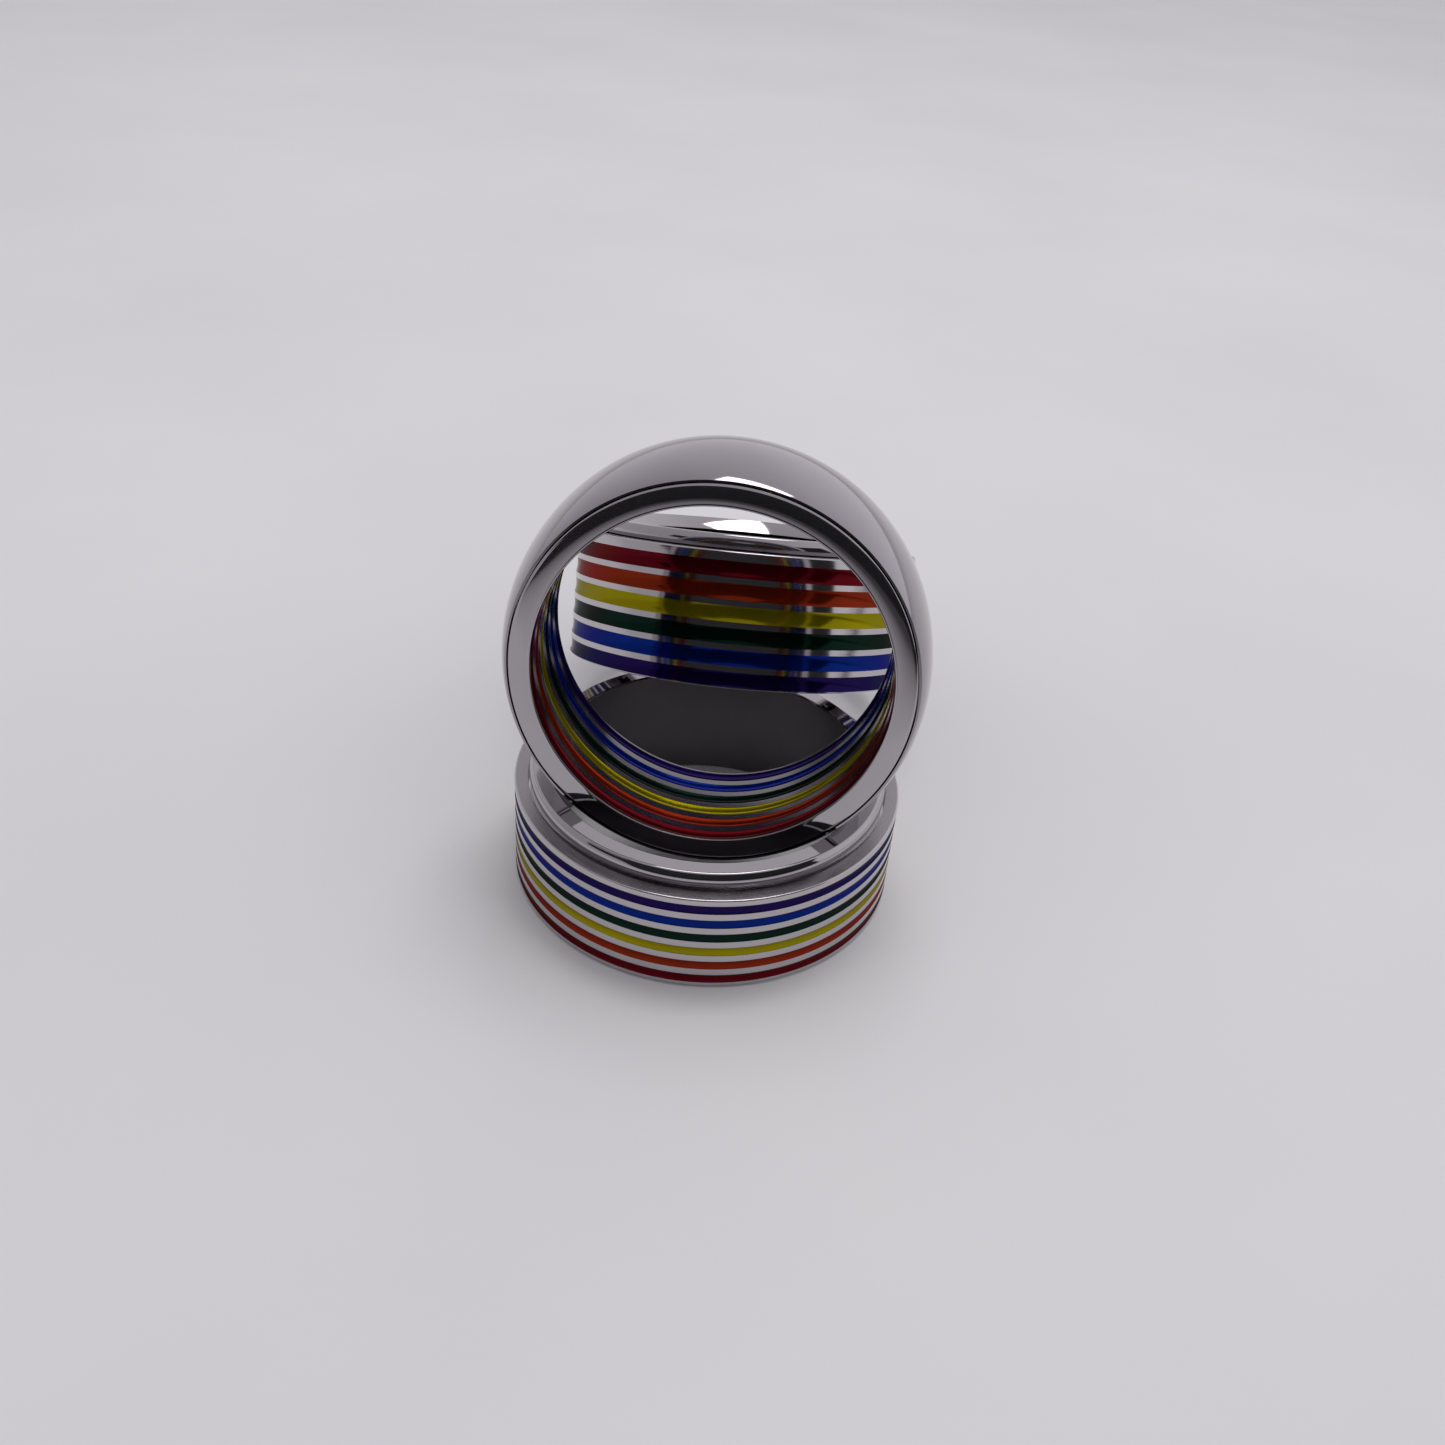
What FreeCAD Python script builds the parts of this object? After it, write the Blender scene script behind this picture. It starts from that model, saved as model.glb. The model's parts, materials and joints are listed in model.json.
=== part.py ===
import FreeCAD, Part
import math
import os

# A stack of three polished steel finger rings with rainbow enamel stripes. One lies flat, one with a
# domed outside stands across its bore, and one leans on its rim from behind. Each ring is a spinner:
# a sleeve that the finger goes through, and a band captured between the sleeve's two flanges, free to
# turn. Millimetres, +Z up, front towards -Y, origin on the table under the middle of the stack.

VEC = FreeCAD.Vector

# Shared by all three rings
COLOURS = ("red", "orange", "yellow", "green", "blue", "purple")
RUNNING_FIT = 0.05          # radial and end clearance between a sleeve and its band
FLANGE_GAP = 0.20           # open groove round a flange, inside the band's counterbore
EDGE = 0.10                 # broken edge on every corner that fingers touch
GROOVE_DEPTH = 0.40         # stripe grooves cut in the outside of a flat band
ENAMEL_RECESS = 0.02        # enamel stands this far below the steel at its edges
MENISCUS = 0.06             # and dips this much further in the middle of a stripe

# Flat ring, lying on the table
FLAT_BORE_R = 9.50
FLAT_BAND_R = 11.60
FLAT_BAND_TOP = 6.55
FLAT_HEIGHT = 7.55
FLAT_STRIPE = 0.60
FLAT_PITCH = 1.028
FLAT_FIRST_STRIPE = 0.42
FLAT_ORDER = COLOURS
FLAT_BEVEL = (0.10, 0.10)   # how far the bore opens out at each end, and over what height
FLAT_BEAD = 0.12            # how far the upper flange's rounded outside bulges

# Leaning ring, the same size round but wider
LEAN_BORE_R = 9.50
LEAN_BAND_R = 11.60
LEAN_BAND_TOP = 8.65
LEAN_HEIGHT = 9.60
LEAN_STRIPE = 1.00
LEAN_PITCH = 1.37
LEAN_FIRST_STRIPE = 0.20
LEAN_ORDER = COLOURS[::-1]
LEAN_BEVEL = (0.76, 0.84)
LEAN_BEAD = 0.05
LEAN_ANGLE = 24.0           # its axis leans back this far from upright
LEAN_ROLL = 0.7
LEAN_CENTRE = VEC(1.24, 15.45, 4.64)

# Domed ring, standing with its axis along the line of sight
DOME_BORE_R = 9.95
DOME_WIDTH = 8.00
DOME_CROWN_R = 12.05
DOME_CREASE_R = 11.36       # where the dome ends at each side
DOME_FLANGE_R = 11.20
DOME_SLEEVE_R = 10.60
DOME_FLATNESS = 1.08        # half length of the dome's ellipse over half the ring's width
DOME_FACE_LEVEL = 0.02      # the faces lie this far inside the width, and bulge by as much
DOME_FACE_ROUND = 0.20      # rounded over this far in from the flange's edge
DOME_FACE_FALL = 0.16
DOME_STRIPE = 0.86
DOME_PITCH = 1.352
DOME_FIRST_STRIPE = 0.14
DOME_GROOVE = 0.30
DOME_TILT = 7.2             # top of the ring leans back
DOME_YAW = 3.5
DOME_FRONT_CENTRE = VEC(-0.19, -4.80, 16.15)

# Flanges
LOWER_FLANGE = 0.75
UPPER_FLANGE_UNDER = 0.60   # the upper flange starts this far below the band's top
BAND_LIFT = 0.15            # the band clears the table when the sleeve stands on it
TUBE_WALL = 0.50
FLANGE_R = 10.60
DOME_FLANGE = 0.90

# Where the flat ring's axis stands
STAND = VEC(-0.47, -8.96, 0.0)


def edges_of(outline):
    """Edges of a closed outline of (r, z) points. ("arc", middle, end) is an arc through middle."""
    def place(point):
        return VEC(point[0], 0, point[1])

    edges = []
    last = place(outline[0])
    for step in outline[1:] + [outline[0]]:
        if step[0] == "arc":
            target = place(step[2])
            edges.append(Part.Arc(last, place(step[1]), target).toShape())
        else:
            target = place(step)
            edges.append(Part.LineSegment(last, target).toShape())
        last = target
    return edges


def turned(edges):
    """Solid of revolution about the local Z axis."""
    face = Part.Face(Part.Wire(edges))
    solid = face.revolve(VEC(0, 0, 0), VEC(0, 0, 1), 360)
    return Part.makeSolid(solid.Shells[0]) if solid.ShapeType != "Solid" else solid


def stripe_spans(first, pitch, width):
    """Lower and upper edge of each of the six stripes."""
    return [(first + pitch * i, first + pitch * i + width) for i in range(len(COLOURS))]


def sleeve(bore_r, height, band_top, bevel, bead):
    """Tube with a flange at each end; the upper one stands proud as a rounded, flat-topped bead."""
    tube_r = bore_r + TUBE_WALL
    upper = band_top - UPPER_FLANGE_UNDER
    bead_low = band_top + EDGE
    bead_mid = (bead_low + height) / 2
    flare, rise = bevel
    return turned(edges_of([
        (bore_r, rise),
        ("arc", (bore_r + flare * 0.47, rise * 0.48), (bore_r + flare, 0)),
        (FLANGE_R, 0),
        (FLANGE_R, LOWER_FLANGE),
        (tube_r, LOWER_FLANGE),
        (tube_r, upper),
        (FLANGE_R, upper),
        (FLANGE_R, bead_low),
        ("arc", (FLANGE_R + bead, bead_mid), (FLANGE_R - EDGE / 2, height - EDGE)),
        ("arc", (FLANGE_R - EDGE, height - EDGE / 3), (FLANGE_R - 2 * EDGE, height)),
        (bore_r + flare, height),
        ("arc", (bore_r + flare * 0.47, height - rise * 0.48), (bore_r, height - rise)),
    ]))


def band(bore_r, band_r, band_top, spans):
    """Flat-sided outer band, counterbored for both flanges, with a groove for each stripe."""
    inner_r = bore_r + TUBE_WALL + RUNNING_FIT
    seat_r = FLANGE_R + FLANGE_GAP
    lower_seat = LOWER_FLANGE + RUNNING_FIT
    upper_seat = band_top - UPPER_FLANGE_UNDER - RUNNING_FIT
    outline = [
        (inner_r, lower_seat),
        (seat_r, lower_seat),
        (seat_r, BAND_LIFT),
        (band_r - EDGE, BAND_LIFT),
        (band_r, BAND_LIFT + EDGE),
    ]
    for low, high in spans:
        outline += [(band_r, low), (band_r - GROOVE_DEPTH, low), (band_r - GROOVE_DEPTH, high), (band_r, high)]
    outline += [
        (band_r, band_top - EDGE),
        (band_r - EDGE, band_top),
        (seat_r, band_top),
        (seat_r, upper_seat),
        (inner_r, upper_seat),
    ]
    return turned(edges_of(outline))


def outer_enamel(band_r, low, high):
    """Ring of enamel that fills a groove in the outside of a band."""
    surface = band_r - ENAMEL_RECESS
    return turned(edges_of([
        (band_r - GROOVE_DEPTH, low),
        (surface, low),
        ("arc", (surface - MENISCUS, (low + high) / 2), (surface, high)),
        (band_r - GROOVE_DEPTH, high),
    ]))


def domed_sleeve(spans):
    """Sleeve of the domed ring: rounded faces at both ends and stripe grooves inside its bore."""
    bore_r = DOME_BORE_R
    back = DOME_WIDTH
    level = DOME_FACE_LEVEL
    rounded = DOME_FLANGE_R - DOME_FACE_ROUND
    middle = (bore_r + rounded) / 2
    corner = (DOME_FLANGE_R - 0.08, level + 0.045)
    outline = [
        (bore_r, EDGE),
        ("arc", (bore_r + EDGE / 3, EDGE / 3), (bore_r + EDGE, level)),
        ("arc", (middle, 0), (rounded, level)),
        ("arc", corner, (DOME_FLANGE_R, DOME_FACE_FALL)),
        (DOME_FLANGE_R, DOME_FLANGE),
        (DOME_SLEEVE_R, DOME_FLANGE),
        (DOME_SLEEVE_R, back - DOME_FLANGE),
        (DOME_FLANGE_R, back - DOME_FLANGE),
        (DOME_FLANGE_R, back - DOME_FACE_FALL),
        ("arc", (corner[0], back - corner[1]), (rounded, back - level)),
        ("arc", (middle, back), (bore_r + EDGE, back - level)),
        ("arc", (bore_r + EDGE / 3, back - EDGE / 3), (bore_r, back - EDGE)),
    ]
    for low, high in reversed(spans):
        outline += [(bore_r, high), (bore_r + DOME_GROOVE, high), (bore_r + DOME_GROOVE, low), (bore_r, low)]
    return turned(edges_of(outline))


def domed_band():
    """Outer band of the domed ring: an elliptical dome over its whole width."""
    half = DOME_WIDTH / 2
    end = half - EDGE
    long_axis = half * DOME_FLATNESS
    end_angle = math.acos(end / long_axis)
    rise = (DOME_CROWN_R - DOME_CREASE_R) / (1 - math.sin(end_angle))
    centre = VEC(DOME_CROWN_R - rise, 0, half)
    ellipse = Part.Ellipse(centre + VEC(0, 0, long_axis), centre + VEC(rise, 0, 0), centre)
    dome = Part.ArcOfEllipse(ellipse, end_angle, math.pi - end_angle).toShape()
    seat_r = DOME_FLANGE_R + RUNNING_FIT
    inner_r = DOME_SLEEVE_R + RUNNING_FIT
    seat = DOME_FLANGE + RUNNING_FIT
    inside = edges_of([
        (DOME_CREASE_R, EDGE),
        (seat_r, EDGE),
        (seat_r, seat),
        (inner_r, seat),
        (inner_r, DOME_WIDTH - seat),
        (seat_r, DOME_WIDTH - seat),
        (seat_r, DOME_WIDTH - EDGE),
        (DOME_CREASE_R, DOME_WIDTH - EDGE),
    ])
    return turned(inside[:-1] + [dome])


def inner_enamel(low, high):
    """Ring of enamel that fills a groove inside the domed ring's bore."""
    surface = DOME_BORE_R + ENAMEL_RECESS
    return turned(edges_of([
        (DOME_BORE_R + DOME_GROOVE, low),
        (DOME_BORE_R + DOME_GROOVE, high),
        (surface, high),
        ("arc", (surface + MENISCUS, (low + high) / 2), (surface, low)),
    ]))


def upright():
    return FreeCAD.Placement(STAND, FreeCAD.Rotation())


def leaning():
    lean = math.radians(LEAN_ANGLE)
    roll = math.radians(LEAN_ROLL)
    axis = VEC(math.sin(roll), math.sin(lean) * math.cos(roll), math.cos(lean) * math.cos(roll))
    return FreeCAD.Placement(STAND + LEAN_CENTRE, FreeCAD.Rotation(VEC(0, 0, 1), axis))


def standing():
    tilt = math.radians(DOME_TILT)
    yaw = math.radians(DOME_YAW)
    axis = VEC(math.sin(yaw) * math.cos(tilt), math.cos(yaw) * math.cos(tilt), -math.sin(tilt))
    return FreeCAD.Placement(STAND + DOME_FRONT_CENTRE, FreeCAD.Rotation(VEC(0, 0, 1), axis))


def flat_sided_ring(name, bore_r, band_r, band_top, height, bevel, bead, order, spans):
    """Sleeve, band and enamel of a ring whose stripes run round the outside."""
    pieces = {
        name + "_sleeve": sleeve(bore_r, height, band_top, bevel, bead),
        name + "_band": band(bore_r, band_r, band_top, spans),
    }
    for colour, (low, high) in zip(order, spans):
        pieces[name + "_enamel_" + colour] = outer_enamel(band_r, low, high)
    return pieces


def domed_ring(name):
    """Sleeve, band and enamel of the ring whose stripes run round the inside."""
    spans = stripe_spans(DOME_FIRST_STRIPE, DOME_PITCH, DOME_STRIPE)
    pieces = {name + "_sleeve": domed_sleeve(spans), name + "_band": domed_band()}
    for colour, (low, high) in zip(COLOURS, spans):
        pieces[name + "_enamel_" + colour] = inner_enamel(low, high)
    return pieces


def write(pieces, placement):
    for node, solid in pieces.items():
        solid.Placement = placement
        if not solid.isValid() or solid.Volume <= 0:
            raise ValueError(node + " is not a valid solid")
        solid.exportStep("parts/" + node + ".step")


def main():
    os.makedirs("parts", exist_ok=True)
    flat_spans = stripe_spans(FLAT_FIRST_STRIPE, FLAT_PITCH, FLAT_STRIPE)
    lean_spans = stripe_spans(LEAN_FIRST_STRIPE, LEAN_PITCH, LEAN_STRIPE)
    write(flat_sided_ring("flat_ring", FLAT_BORE_R, FLAT_BAND_R, FLAT_BAND_TOP, FLAT_HEIGHT,
                          FLAT_BEVEL, FLAT_BEAD, FLAT_ORDER, flat_spans), upright())
    write(domed_ring("domed_ring"), standing())
    write(flat_sided_ring("leaning_ring", LEAN_BORE_R, LEAN_BAND_R, LEAN_BAND_TOP, LEAN_HEIGHT,
                          LEAN_BEVEL, LEAN_BEAD, LEAN_ORDER, lean_spans), leaning())


main()
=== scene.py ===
import json
import math

import bmesh
import bpy
from mathutils import Matrix, Vector


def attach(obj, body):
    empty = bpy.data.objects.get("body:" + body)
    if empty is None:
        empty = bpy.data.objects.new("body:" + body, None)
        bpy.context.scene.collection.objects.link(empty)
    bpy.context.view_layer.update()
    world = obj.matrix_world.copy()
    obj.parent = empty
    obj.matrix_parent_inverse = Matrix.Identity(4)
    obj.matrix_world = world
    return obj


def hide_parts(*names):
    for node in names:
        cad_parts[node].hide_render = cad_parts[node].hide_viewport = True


# Three polished steel spinner rings with rainbow enamel stripes, turned afresh at high resolution around
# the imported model. Lengths are millimetres in each ring's own frame, with its axis along local Z.

MM = 0.001
TURN_STEPS = 256            # facets round a full turn
ARC_STEPS = 14              # facets along an arc of a profile
SHARP_ANGLE = math.radians(35)

COLOURS = ("red", "orange", "yellow", "green", "blue", "purple")
RUNNING_FIT = 0.05          # between a sleeve and the band that turns on it
FLANGE_GAP = 0.20           # open gap between a flange and the band round it
EDGE = 0.10                 # size of a rounded corner
GROOVE_DEPTH = 0.40
ENAMEL_RECESS = 0.02        # enamel's edge below the steel
MENISCUS = 0.06             # how much further the enamel sinks in its middle

LOWER_FLANGE = 0.75
UPPER_FLANGE_UNDER = 0.60
BAND_LIFT = 0.15
TUBE_WALL = 0.50
FLANGE_R = 10.60

# first, pitch and stripe: where the first enamel stripe starts, the spacing and the width.
# bevel: how far the bore opens out at each end, and over what height. bead: bulge of the upper flange.
# joint_z: height of the spin joint's point above the ring's lower end.
# level, round and fall: how far the domed ring's end face dips, and how it turns down at its outer edge.
FLAT = dict(bore=9.50, band=11.60, top=6.55, height=7.55, first=0.42, pitch=1.028, stripe=0.60,
            bevel=(0.10, 0.10), bead=0.12, joint_z=3.35)
LEAN = dict(bore=9.50, band=11.60, top=8.65, height=9.60, first=0.20, pitch=1.37, stripe=1.00,
            bevel=(0.76, 0.84), bead=0.05, joint_z=4.40)
DOME = dict(bore=9.95, width=8.00, crown=12.05, crease=11.36, flange=11.20, tube=10.60, flange_t=0.90,
            flatness=1.08, level=0.02, round=0.20, fall=0.16, first=0.14, pitch=1.352, stripe=0.86,
            groove=0.30, joint_z=4.00)

# Camera: where it aims, on the flat ring's near side, and how it is held
AIM = Vector((0.00017, -0.00413, 0.00698))
CAMERA_DISTANCE = 0.09145
CAMERA_PITCH = math.radians(34.66)
CAMERA_ROLL = math.radians(4.70)
SENSOR = 36.0
FOCAL_LENGTH = 36.05        # just over the sensor's side, as on a phone's main camera
CLIP_START = 0.001

# Light, and the dark shapes that only reflections see. Lengths are metres.
LAMP_PLACE = (0.04, 0.10, 0.42)
LAMP_SIDE = 0.20
LAMP_POWER = 0.50
TABLE_HALF = 2
ROOM_RADIUS = 0.115
ROOM_HALF_ANGLE = math.radians(63)
ROOM_STEPS = 42
SHADE_LIFT = 0.0004
SHADE_FROM, SHADE_TO, SHADE_MOST = -0.050, -0.092, 0.90
SHADE_TURN = math.radians(22)

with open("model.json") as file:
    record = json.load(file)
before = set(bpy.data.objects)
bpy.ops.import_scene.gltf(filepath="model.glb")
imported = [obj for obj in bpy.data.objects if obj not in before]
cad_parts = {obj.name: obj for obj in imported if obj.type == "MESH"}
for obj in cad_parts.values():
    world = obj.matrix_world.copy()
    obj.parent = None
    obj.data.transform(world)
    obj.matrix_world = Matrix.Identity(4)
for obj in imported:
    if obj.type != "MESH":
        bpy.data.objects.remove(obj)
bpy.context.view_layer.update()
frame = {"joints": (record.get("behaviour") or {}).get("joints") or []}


# ---------------------------------------------------------------- turned meshes

def points_of(outline):
    """(r, z) points of a closed outline. ("arc", middle, end) is an arc through middle."""
    points = [outline[0]]
    for step in outline[1:]:
        if step[0] == "arc":
            points += arc_points(points[-1], step[1], step[2])
        elif step[0] == "points":
            points += step[1]
        else:
            points.append(step)
    return points


def arc_points(start, middle, end):
    """Points after start on the circle through three points, up to and with end."""
    (ax, ay), (bx, by), (cx, cy) = start, middle, end
    d = 2 * (ax * (by - cy) + bx * (cy - ay) + cx * (ay - by))
    sa, sb, sc = ax * ax + ay * ay, bx * bx + by * by, cx * cx + cy * cy
    ux = (sa * (by - cy) + sb * (cy - ay) + sc * (ay - by)) / d
    uy = (sa * (cx - bx) + sb * (ax - cx) + sc * (bx - ax)) / d
    first = math.atan2(ay - uy, ax - ux)
    mid = math.atan2(by - uy, bx - ux)
    last = math.atan2(cy - uy, cx - ux)
    turn = (last - first) % math.tau
    if (mid - first) % math.tau > turn:
        turn -= math.tau
    radius = math.hypot(ax - ux, ay - uy)
    return [(ux + radius * math.cos(first + turn * i / ARC_STEPS),
             uy + radius * math.sin(first + turn * i / ARC_STEPS)) for i in range(1, ARC_STEPS + 1)]


def turned(name, outline, slots, slot_of=None):
    """Mesh object of an outline turned about local Z. slot_of(r, z) picks the slot of each strip."""
    profile = points_of(outline)
    mesh = bmesh.new()
    rings = []
    for r, z in profile:
        rings.append([mesh.verts.new((r * MM * math.cos(math.tau * k / TURN_STEPS),
                                      r * MM * math.sin(math.tau * k / TURN_STEPS), z * MM))
                      for k in range(TURN_STEPS)])
    for i, low in enumerate(rings):
        high = rings[(i + 1) % len(rings)]
        (r0, z0), (r1, z1) = profile[i], profile[(i + 1) % len(profile)]
        index = slot_of((r0 + r1) / 2, (z0 + z1) / 2) if slot_of else 0
        for k in range(TURN_STEPS):
            j = (k + 1) % TURN_STEPS
            face = mesh.faces.new((low[k], low[j], high[j], high[k]))
            face.smooth = True
            face.material_index = index
    bmesh.ops.recalc_face_normals(mesh, faces=mesh.faces)
    data = bpy.data.meshes.new(name)
    mesh.to_mesh(data)
    mesh.free()
    data.set_sharp_from_angle(angle=SHARP_ANGLE)
    for material in slots:
        data.materials.append(material)
    piece = bpy.data.objects.new(name, data)
    bpy.context.scene.collection.objects.link(piece)
    return piece


def put(piece, joint_name, joint_z, body, node):
    """Stand the piece on the axis of a spin joint, ride its body and take over its CAD node."""
    joint = next(j for j in frame["joints"] if j["name"] == joint_name)
    axis = Vector(joint["axis"]).normalized()
    foot = Vector(joint["pos_m"]) - axis * joint_z * MM
    piece.matrix_world = Matrix.Translation(foot) @ axis.to_track_quat("Z", "Y").to_matrix().to_4x4()
    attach(piece, body)
    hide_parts(node)
    return piece


# ---------------------------------------------------------------- materials

class Nodes:
    """A small helper that adds and links shader nodes."""

    def __init__(self, owner, output="ShaderNodeOutputMaterial"):
        owner.use_nodes = True
        self.tree = owner.node_tree
        self.tree.nodes.clear()
        self.out = self.add(output)

    def add(self, kind, inputs=None, **settings):
        node = self.tree.nodes.new(kind)
        for key, value in settings.items():
            setattr(node, key, value)
        for key, value in (inputs or {}).items():
            if isinstance(value, bpy.types.NodeSocket):
                self.tree.links.new(value, node.inputs[key])
            else:
                node.inputs[key].default_value = value
        return node

    def math(self, operation, a, b=0.0):
        return self.add("ShaderNodeMath", {0: a, 1: b}, operation=operation).outputs[0]

    def remap(self, value, low, high, to_low, to_high):
        return self.add("ShaderNodeMapRange", {
            "Value": value, "From Min": low, "From Max": high, "To Min": to_low, "To Max": to_high,
        }).outputs["Result"]

    def turning_coordinates(self):
        """(r, z, 0) in the ring's own frame, so that a noise read there runs round the ring as lines."""
        place = self.add("ShaderNodeTexCoord").outputs["Object"]
        parts = self.add("ShaderNodeSeparateXYZ", {0: place})
        x2 = self.math("MULTIPLY", parts.outputs["X"], parts.outputs["X"])
        y2 = self.math("MULTIPLY", parts.outputs["Y"], parts.outputs["Y"])
        radius = self.math("SQRT", self.math("ADD", x2, y2))
        round_it = self.add("ShaderNodeCombineXYZ", {"X": radius, "Y": parts.outputs["Z"]}).outputs[0]
        return place, round_it


def noise(nodes, vector, scale, detail=2.0):
    return nodes.add("ShaderNodeTexNoise", {"Vector": vector, "Scale": scale, "Detail": detail}).outputs["Fac"]


def steel(name, colour, roughness, line_scale, line_depth, spread=0.03, contrast=0.06):
    """Turned stainless steel: lathe lines round the ring, uneven polish and a faint change of tone."""
    material = bpy.data.materials.new(name)
    n = Nodes(material)
    place, round_it = n.turning_coordinates()
    lines = noise(n, round_it, line_scale, 3.0)
    smudge = noise(n, place, 220.0, 4.0)
    tone = n.add("ShaderNodeMix", {
        0: n.remap(smudge, 0.3, 0.7, 0.0, 1.0),
        6: [c * (1 - contrast) for c in colour] + [1.0],
        7: list(colour) + [1.0],
    }, data_type="RGBA").outputs[2]
    rough = n.math("ADD", n.remap(smudge, 0.3, 0.7, roughness - spread / 2, roughness + spread / 2),
                   n.remap(lines, 0.3, 0.7, 0.0, spread / 2))
    bump = n.add("ShaderNodeBump", {"Strength": line_depth, "Distance": 0.00002, "Height": lines}).outputs[0]
    shader = n.add("ShaderNodeBsdfPrincipled", {
        "Base Color": tone, "Metallic": 1.0, "Roughness": rough, "Normal": bump,
    })
    n.tree.links.new(shader.outputs[0], n.out.inputs["Surface"])
    return material


def enamel(name, colour):
    """Glossy enamel: an even colour with slow drifts of depth, under a clear flat-polished top."""
    material = bpy.data.materials.new(name)
    n = Nodes(material)
    place, round_it = n.turning_coordinates()
    drift = noise(n, place, 350.0, 3.0)
    tone = n.add("ShaderNodeMix", {
        0: n.remap(drift, 0.3, 0.7, 0.0, 1.0),
        6: [c * 0.86 for c in colour] + [1.0],
        7: list(colour) + [1.0],
    }, data_type="RGBA").outputs[2]
    ripple = noise(n, round_it, 2500.0, 2.0)
    bump = n.add("ShaderNodeBump", {"Strength": 0.05, "Distance": 0.00002, "Height": ripple}).outputs[0]
    shader = n.add("ShaderNodeBsdfPrincipled", {
        "Base Color": tone, "Metallic": 0.78, "Roughness": n.remap(drift, 0.3, 0.7, 0.12, 0.18),
        "Normal": bump, "IOR": 1.25, "Specular Tint": [0.3 + 0.5 * c for c in colour] + [1.0],
        "Coat Weight": 0.10, "Coat Roughness": 0.02, "Coat IOR": 1.35,
    })
    n.tree.links.new(shader.outputs[0], n.out.inputs["Surface"])
    return material


POLISHED = steel("polished_steel", (0.47, 0.445, 0.47), 0.06, 9000.0, 0.04)
DOMED = steel("domed_steel", (0.39, 0.36, 0.395), 0.07, 6000.0, 0.03)
STRIP = steel("strip_steel", (0.56, 0.53, 0.55), 0.10, 12000.0, 0.08)
BRUSHED = steel("brushed_steel", (0.40, 0.375, 0.40), 0.24, 20000.0, 0.60, spread=0.10, contrast=0.16)
# Painted shade: the domed ring's bore is the same polished steel as its sleeve, darkened to about half where
# it lies inside the ring.
SHADED_INNER = steel("shaded_inner_steel", (0.24, 0.225, 0.245), 0.18, 9000.0, 0.10)
# The flat ring's bore is satin steel; its dark tone is painted shade, the shade inside the bore under the
# domed ring.
SHADED_BORE = steel("bore_steel", (0.20, 0.19, 0.20), 0.34, 15000.0, 0.25, spread=0.08, contrast=0.15)

ENAMEL_COLOURS = {
    "red": (0.115, 0.0012, 0.0065),
    "orange": (0.24, 0.021, 0.0035),
    "yellow": (0.32, 0.275, 0.0008),
    "green": (0.002, 0.017, 0.011),
    "blue": (0.0008, 0.018, 0.20),
    "purple": (0.012, 0.004, 0.075),
}
# Painted light: the enamel in the domed ring's bore is the same enamel as outside, made 1.6 times brighter as
# a lit copy.
BORE_PAINTED_LIGHT_GAIN = 1.6
ENAMELS = {name: enamel("enamel_" + name, colour) for name, colour in ENAMEL_COLOURS.items()}
LIT_BORE_ENAMELS = {name: enamel("lit_bore_enamel_" + name, [c * BORE_PAINTED_LIGHT_GAIN for c in colour])
                for name, colour in ENAMEL_COLOURS.items()}


# ---------------------------------------------------------------- rings

def spans(ring):
    return [(ring["first"] + ring["pitch"] * i, ring["first"] + ring["pitch"] * i + ring["stripe"])
            for i in range(len(COLOURS))]


def corner(r, z, dr, dz, size=EDGE):
    """A rounded corner at (r, z), from size along (dr[0], dz[0]) to size along (dr[1], dz[1])."""
    start = (r + dr[0] * size, z + dz[0] * size)
    end = (r + dr[1] * size, z + dz[1] * size)
    pull = size * (1 - math.sqrt(0.5))
    middle = (r + (dr[0] + dr[1]) * pull, z + (dz[0] + dz[1]) * pull)
    return [start, ("arc", middle, end)]


def sleeve(name, ring, joint, body):
    tube = ring["bore"] + TUBE_WALL
    upper = ring["top"] - UPPER_FLANGE_UNDER
    bead_low = ring["top"] + EDGE
    bead_mid = (bead_low + ring["height"]) / 2
    flare, rise = ring["bevel"]
    bead = ring["bead"]
    outline = [
        (ring["bore"], rise),
        ("arc", (ring["bore"] + flare * 0.47, rise * 0.48), (ring["bore"] + flare, 0)),
        (FLANGE_R, 0),
        (FLANGE_R, LOWER_FLANGE),
        (tube, LOWER_FLANGE),
        (tube, upper),
        (FLANGE_R, upper),
        (FLANGE_R, bead_low),
        ("arc", (FLANGE_R + bead, bead_mid), (FLANGE_R - EDGE / 2, ring["height"] - EDGE)),
        ("arc", (FLANGE_R - EDGE, ring["height"] - EDGE / 3), (FLANGE_R - 2 * EDGE, ring["height"])),
        (ring["bore"] + flare, ring["height"]),
        ("arc", (ring["bore"] + flare * 0.47, ring["height"] - rise * 0.48),
         (ring["bore"], ring["height"] - rise)),
    ]
    inside = lambda r, z: 1 if r < ring["bore"] + EDGE / 4 else 0
    piece = turned(name, outline, [POLISHED, ring["bore_steel"]], inside)
    return put(piece, joint, ring["joint_z"], body, name)


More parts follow.
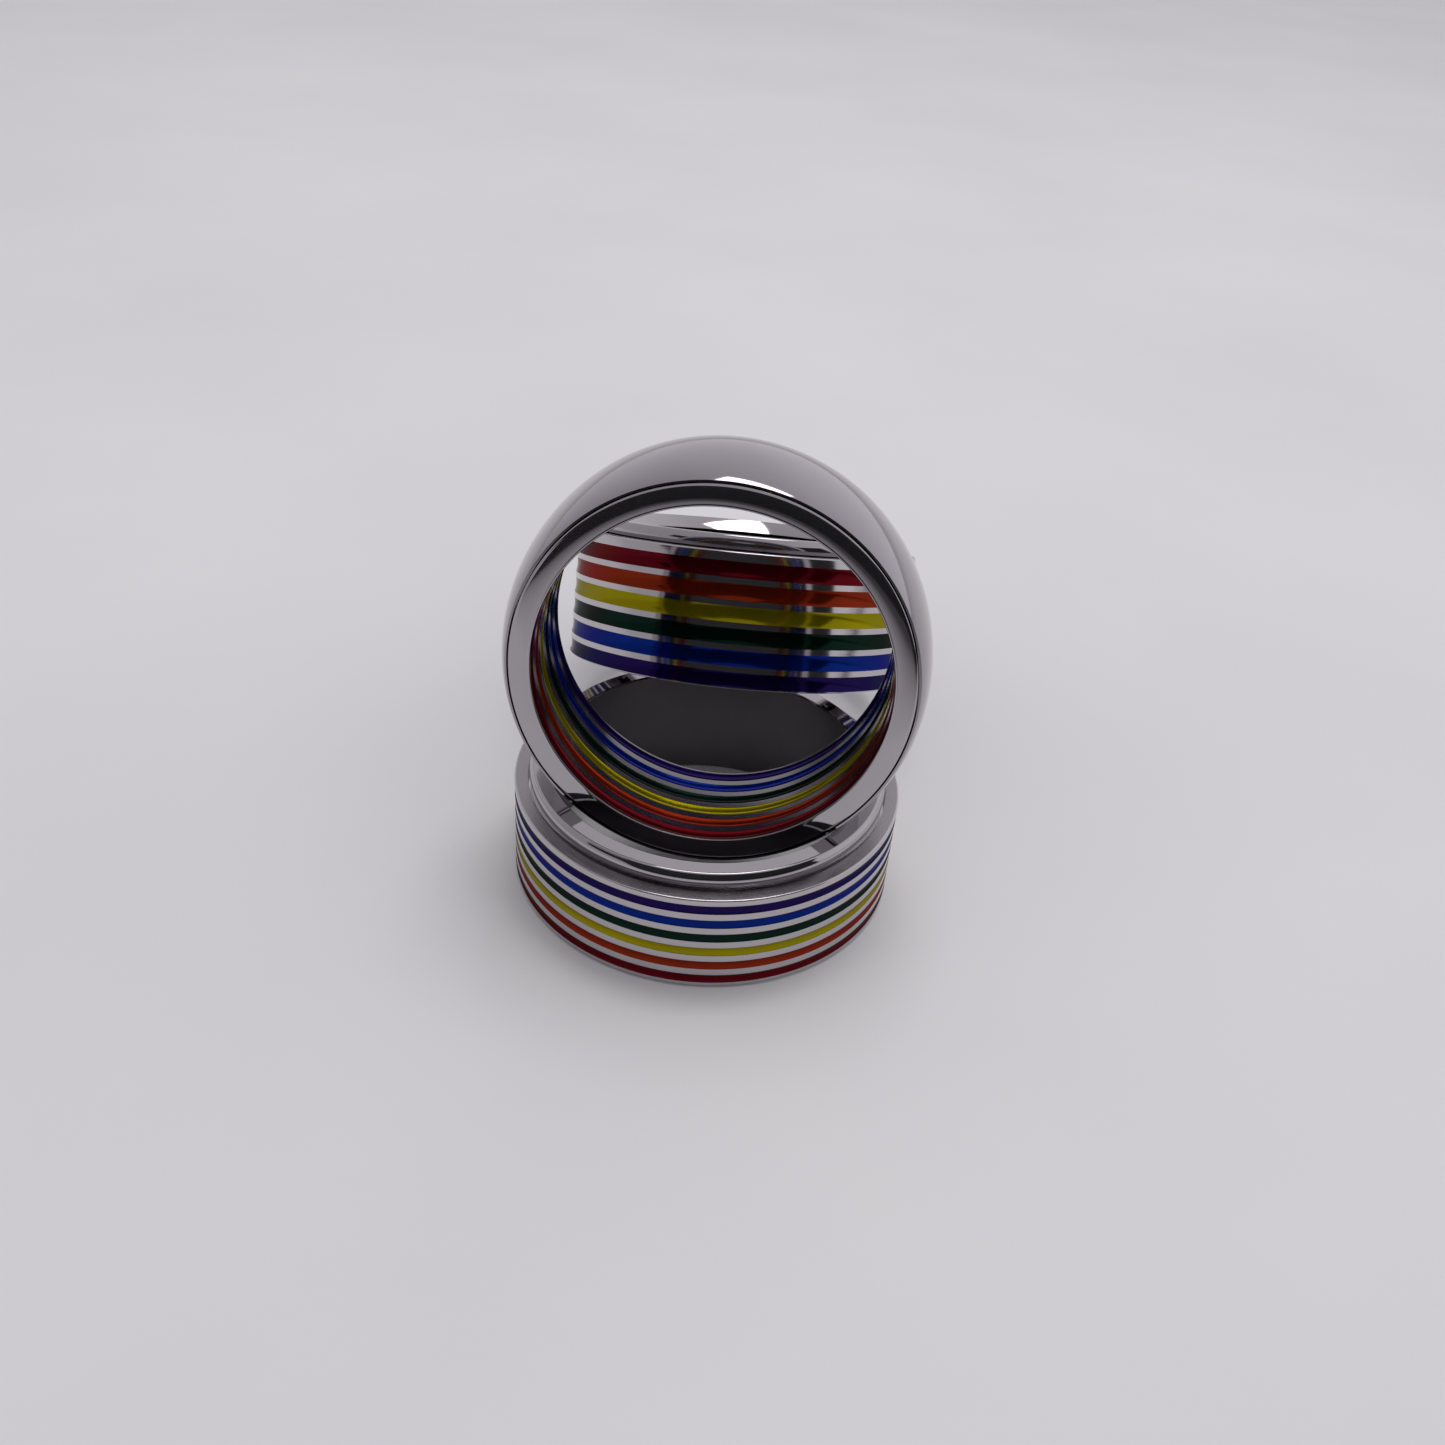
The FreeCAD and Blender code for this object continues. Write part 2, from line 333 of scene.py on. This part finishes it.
def band(name, ring, joint, body):
    inner = ring["bore"] + TUBE_WALL + RUNNING_FIT
    seat = FLANGE_R + FLANGE_GAP
    lower_seat = LOWER_FLANGE + RUNNING_FIT
    upper_seat = ring["top"] - UPPER_FLANGE_UNDER - RUNNING_FIT
    outline = [(inner, lower_seat), (seat, lower_seat), (seat, BAND_LIFT)]
    outline += corner(ring["band"], BAND_LIFT, (-1, 0), (0, 1))
    for low, high in spans(ring):
        outline += [(ring["band"], low), (ring["band"] - GROOVE_DEPTH, low),
                    (ring["band"] - GROOVE_DEPTH, high), (ring["band"], high)]
    outline += corner(ring["band"], ring["top"], (0, -1), (-1, 0))
    outline += [(seat, ring["top"]), (seat, upper_seat), (inner, upper_seat)]
    ends = lambda r, z: 1 if r < ring["band"] - EDGE and (z > upper_seat or z < lower_seat) else 0
    piece = turned(name, outline, [STRIP, BRUSHED], ends)
    return put(piece, joint, ring["joint_z"], body, name)


def outer_enamel(name, ring, low, high, colour, joint, body):
    surface = ring["band"] - ENAMEL_RECESS
    floor = ring["band"] - GROOVE_DEPTH
    outline = [(floor, low), (surface, low),
               ("arc", (surface - MENISCUS, (low + high) / 2), (surface, high)), (floor, high)]
    piece = turned(name, outline, [ENAMELS[colour]])
    return put(piece, joint, ring["joint_z"], body, name)


def flat_sided_ring(label, ring, order):
    sleeve(label + "_ring_sleeve", ring, label + "_spin", label + "_sleeve")
    band(label + "_ring_band", ring, label + "_spin", label + "_spinner")
    for colour, (low, high) in zip(order, spans(ring)):
        outer_enamel(label + "_ring_enamel_" + colour, ring, low, high, colour,
                     label + "_spin", label + "_spinner")


def domed_sleeve():
    back = DOME["width"]
    level = DOME["level"]
    rounded = DOME["flange"] - DOME["round"]
    middle = (DOME["bore"] + rounded) / 2
    turn_in = (DOME["flange"] - 0.08, level + 0.045)
    outline = [
        (DOME["bore"], EDGE),
        ("arc", (DOME["bore"] + EDGE / 3, EDGE / 3), (DOME["bore"] + EDGE, level)),
        ("arc", (middle, 0), (rounded, level)),
        ("arc", turn_in, (DOME["flange"], DOME["fall"])),
        (DOME["flange"], DOME["flange_t"]),
        (DOME["tube"], DOME["flange_t"]),
        (DOME["tube"], back - DOME["flange_t"]),
        (DOME["flange"], back - DOME["flange_t"]),
        (DOME["flange"], back - DOME["fall"]),
        ("arc", (turn_in[0], back - turn_in[1]), (rounded, back - level)),
        ("arc", (middle, back), (DOME["bore"] + EDGE, back - level)),
        ("arc", (DOME["bore"] + EDGE / 3, back - EDGE / 3), (DOME["bore"], back - EDGE)),
    ]
    floor = DOME["bore"] + DOME["groove"]
    for low, high in reversed(spans(DOME)):
        outline += [(DOME["bore"], high), (floor, high), (floor, low), (DOME["bore"], low)]
    name = "domed_ring_sleeve"
    inside = lambda r, z: 1 if r < DOME["bore"] + EDGE / 4 else 0
    piece = turned(name, outline, [POLISHED, SHADED_INNER], inside)
    return put(piece, "domed_spin", DOME["joint_z"], "domed_sleeve", name)


def domed_band():
    half = DOME["width"] / 2
    long_axis = half * DOME["flatness"]
    end_angle = math.acos((half - EDGE) / long_axis)
    rise = (DOME["crown"] - DOME["crease"]) / (1 - math.sin(end_angle))
    steps = 6 * ARC_STEPS
    angles = [end_angle + (math.pi - 2 * end_angle) * i / steps for i in range(steps + 1)]
    dome = [(DOME["crown"] - rise + rise * math.sin(a), half - long_axis * math.cos(a)) for a in angles]
    seat_r = DOME["flange"] + RUNNING_FIT
    inner = DOME["tube"] + RUNNING_FIT
    seat = DOME["flange_t"] + RUNNING_FIT
    back = DOME["width"]
    outline = [dome[0], ("points", dome[1:]), (seat_r, back - EDGE), (seat_r, back - seat),
               (inner, back - seat), (inner, seat), (seat_r, seat), (seat_r, EDGE)]
    name = "domed_ring_band"
    piece = turned(name, outline, [DOMED])
    return put(piece, "domed_spin", DOME["joint_z"], "domed_spinner", name)


def inner_enamel(name, low, high, colour):
    surface = DOME["bore"] + ENAMEL_RECESS
    floor = DOME["bore"] + DOME["groove"]
    outline = [(floor, low), (floor, high), (surface, high),
               ("arc", (surface + MENISCUS, (low + high) / 2), (surface, low))]
    piece = turned(name, outline, [LIT_BORE_ENAMELS[colour]])
    return put(piece, "domed_spin", DOME["joint_z"], "domed_sleeve", name)


def domed_ring():
    domed_sleeve()
    domed_band()
    for colour, (low, high) in zip(COLOURS, spans(DOME)):
        inner_enamel("domed_ring_enamel_" + colour, low, high, colour)


FLAT["bore_steel"] = SHADED_BORE
LEAN["bore_steel"] = POLISHED
flat_sided_ring("flat", FLAT, COLOURS)
domed_ring()
flat_sided_ring("leaning", LEAN, COLOURS[::-1])


# ---------------------------------------------------------------- stage

def flat_shape(name, corners, material):
    """One flat face of the surroundings."""
    data = bpy.data.meshes.new(name)
    data.from_pydata([tuple(c) for c in corners], [], [tuple(range(len(corners)))])
    data.materials.append(material)
    shape = bpy.data.objects.new(name, data)
    bpy.context.scene.collection.objects.link(shape)
    return shape


def floor_material():
    material = bpy.data.materials.new("pale_table")
    n = Nodes(material)
    place = n.add("ShaderNodeTexCoord").outputs["Object"]
    mottle = noise(n, place, 18.0, 5.0)
    tone = n.add("ShaderNodeMix", {
        0: n.remap(mottle, 0.3, 0.7, 0.0, 1.0),
        6: (0.78, 0.775, 0.80, 1.0),
        7: (0.83, 0.83, 0.84, 1.0),
    }, data_type="RGBA").outputs[2]
    shader = n.add("ShaderNodeBsdfPrincipled", {"Base Color": tone, "Roughness": 0.7})
    n.tree.links.new(shader.outputs[0], n.out.inputs["Surface"])
    return material


def dark_card_material():
    material = bpy.data.materials.new("dark_card")
    n = Nodes(material)
    shader = n.add("ShaderNodeBsdfPrincipled", {"Base Color": (0.012, 0.012, 0.013, 1), "Roughness": 0.8})
    n.tree.links.new(shader.outputs[0], n.out.inputs["Surface"])
    return material


def soft_light(name, place, target, width, height, power, colour):
    light = bpy.data.lights.new(name, "AREA")
    light.shape = "RECTANGLE"
    light.size = width
    light.size_y = height
    light.energy = power
    light.color = colour
    lamp = bpy.data.objects.new(name, light)
    bpy.context.scene.collection.objects.link(lamp)
    lamp.location = place
    lamp.rotation_euler = (Vector(target) - Vector(place)).to_track_quat("-Z", "Y").to_euler()
    return lamp


def surroundings():
    """Pale light from all round, like the inside of a light tent, brighter to the right and behind."""
    world = bpy.data.worlds.new("tent")
    bpy.context.scene.world = world
    n = Nodes(world, "ShaderNodeOutputWorld")
    parts = n.add("ShaderNodeSeparateXYZ", {0: n.add("ShaderNodeTexCoord").outputs["Generated"]})
    up = n.remap(parts.outputs["Z"], 0.0, 1.0, 0.64, 0.52)
    side = n.remap(parts.outputs["X"], -1.0, 1.0, 0.75, 1.25)
    depth = n.remap(parts.outputs["Y"], -1.0, 1.0, 0.76, 1.20)
    background = n.add("ShaderNodeBackground", {
        "Color": (0.985, 0.965, 1.0, 1), "Strength": n.math("MULTIPLY", n.math("MULTIPLY", up, side), depth)})
    n.tree.links.new(background.outputs[0], n.out.inputs["Surface"])


flat_shape("table", [(-TABLE_HALF, -TABLE_HALF, 0), (TABLE_HALF, -TABLE_HALF, 0),
                     (TABLE_HALF, TABLE_HALF, 0), (-TABLE_HALF, TABLE_HALF, 0)], floor_material())
surroundings()
soft_light("overhead_light", LAMP_PLACE, (0, 0, 0), LAMP_SIDE, LAMP_SIDE, LAMP_POWER, (1.0, 0.99, 0.98))


# ---------------------------------------------------------------- camera

def add_camera():
    data = bpy.data.cameras.new("camera")
    data.sensor_width = SENSOR
    data.lens = FOCAL_LENGTH
    data.clip_start = CLIP_START
    camera = bpy.data.objects.new("camera", data)
    bpy.context.scene.collection.objects.link(camera)
    look = Vector((0, math.cos(CAMERA_PITCH), -math.sin(CAMERA_PITCH)))
    camera.location = AIM - look * CAMERA_DISTANCE
    turn = look.to_track_quat("-Z", "Y").to_matrix().to_4x4() @ Matrix.Rotation(CAMERA_ROLL, 4, "Z")
    camera.rotation_euler = turn.to_euler()
    bpy.context.scene.camera = camera


add_camera()


def only_in_reflections(card):
    """Leave the card to glossy rays alone."""
    card.visible_camera = False
    card.visible_diffuse = False
    card.visible_shadow = False
    card.visible_transmission = False


def dark_surroundings():
    """The dark phone, hands and room behind the lens, seen only as dark shapes in the polished steel."""
    mesh = bmesh.new()
    columns = []
    for i in range(ROOM_STEPS + 1):
        turn = -ROOM_HALF_ANGLE + 2 * ROOM_HALF_ANGLE * i / ROOM_STEPS
        bump = 0.016 * (math.exp(-((turn + 0.42) / 0.16) ** 2) + math.exp(-((turn - 0.38) / 0.16) ** 2))
        top = 0.084 + bump - 0.012 * turn ** 2
        foot = 0.040 / (1 + math.exp((turn + 0.62) / 0.04))
        x, y = ROOM_RADIUS * math.sin(turn), -ROOM_RADIUS * math.cos(turn)
        columns.append([mesh.verts.new((x, y, foot)), mesh.verts.new((x, y, top))])
    for left, right in zip(columns, columns[1:]):
        mesh.faces.new((left[0], right[0], right[1], left[1]))
    data = bpy.data.meshes.new("dark_room")
    mesh.to_mesh(data)
    mesh.free()
    data.materials.append(dark_card_material())
    card = bpy.data.objects.new("dark_room", data)
    bpy.context.scene.collection.objects.link(card)
    only_in_reflections(card)


def shade_on_table():
    """Shade on the table towards the lens, seen only in reflections: a sheet that darkens with distance."""
    material = bpy.data.materials.new("table_shade")
    n = Nodes(material)
    parts = n.add("ShaderNodeSeparateXYZ", {0: n.add("ShaderNodeTexCoord").outputs["Object"]})
    amount = n.remap(parts.outputs["Y"], SHADE_FROM, SHADE_TO, 0.0, SHADE_MOST)
    clear = n.add("ShaderNodeBsdfTransparent").outputs[0]
    dark = n.add("ShaderNodeBsdfDiffuse", {"Color": (0.02, 0.02, 0.02, 1)}).outputs[0]
    mix = n.add("ShaderNodeMixShader", {0: amount, 1: clear, 2: dark})
    n.tree.links.new(mix.outputs[0], n.out.inputs["Surface"])
    corners = [(-0.20, -0.14, SHADE_LIFT), (0.20, -0.14, SHADE_LIFT),
               (0.20, -0.045, SHADE_LIFT), (-0.20, -0.045, SHADE_LIFT)]
    sheet = flat_shape("table_shade", corners, material)
    sheet.rotation_euler.z = SHADE_TURN
    only_in_reflections(sheet)


shade_on_table()
dark_surroundings()
bpy.context.scene.view_settings.view_transform = "Standard"
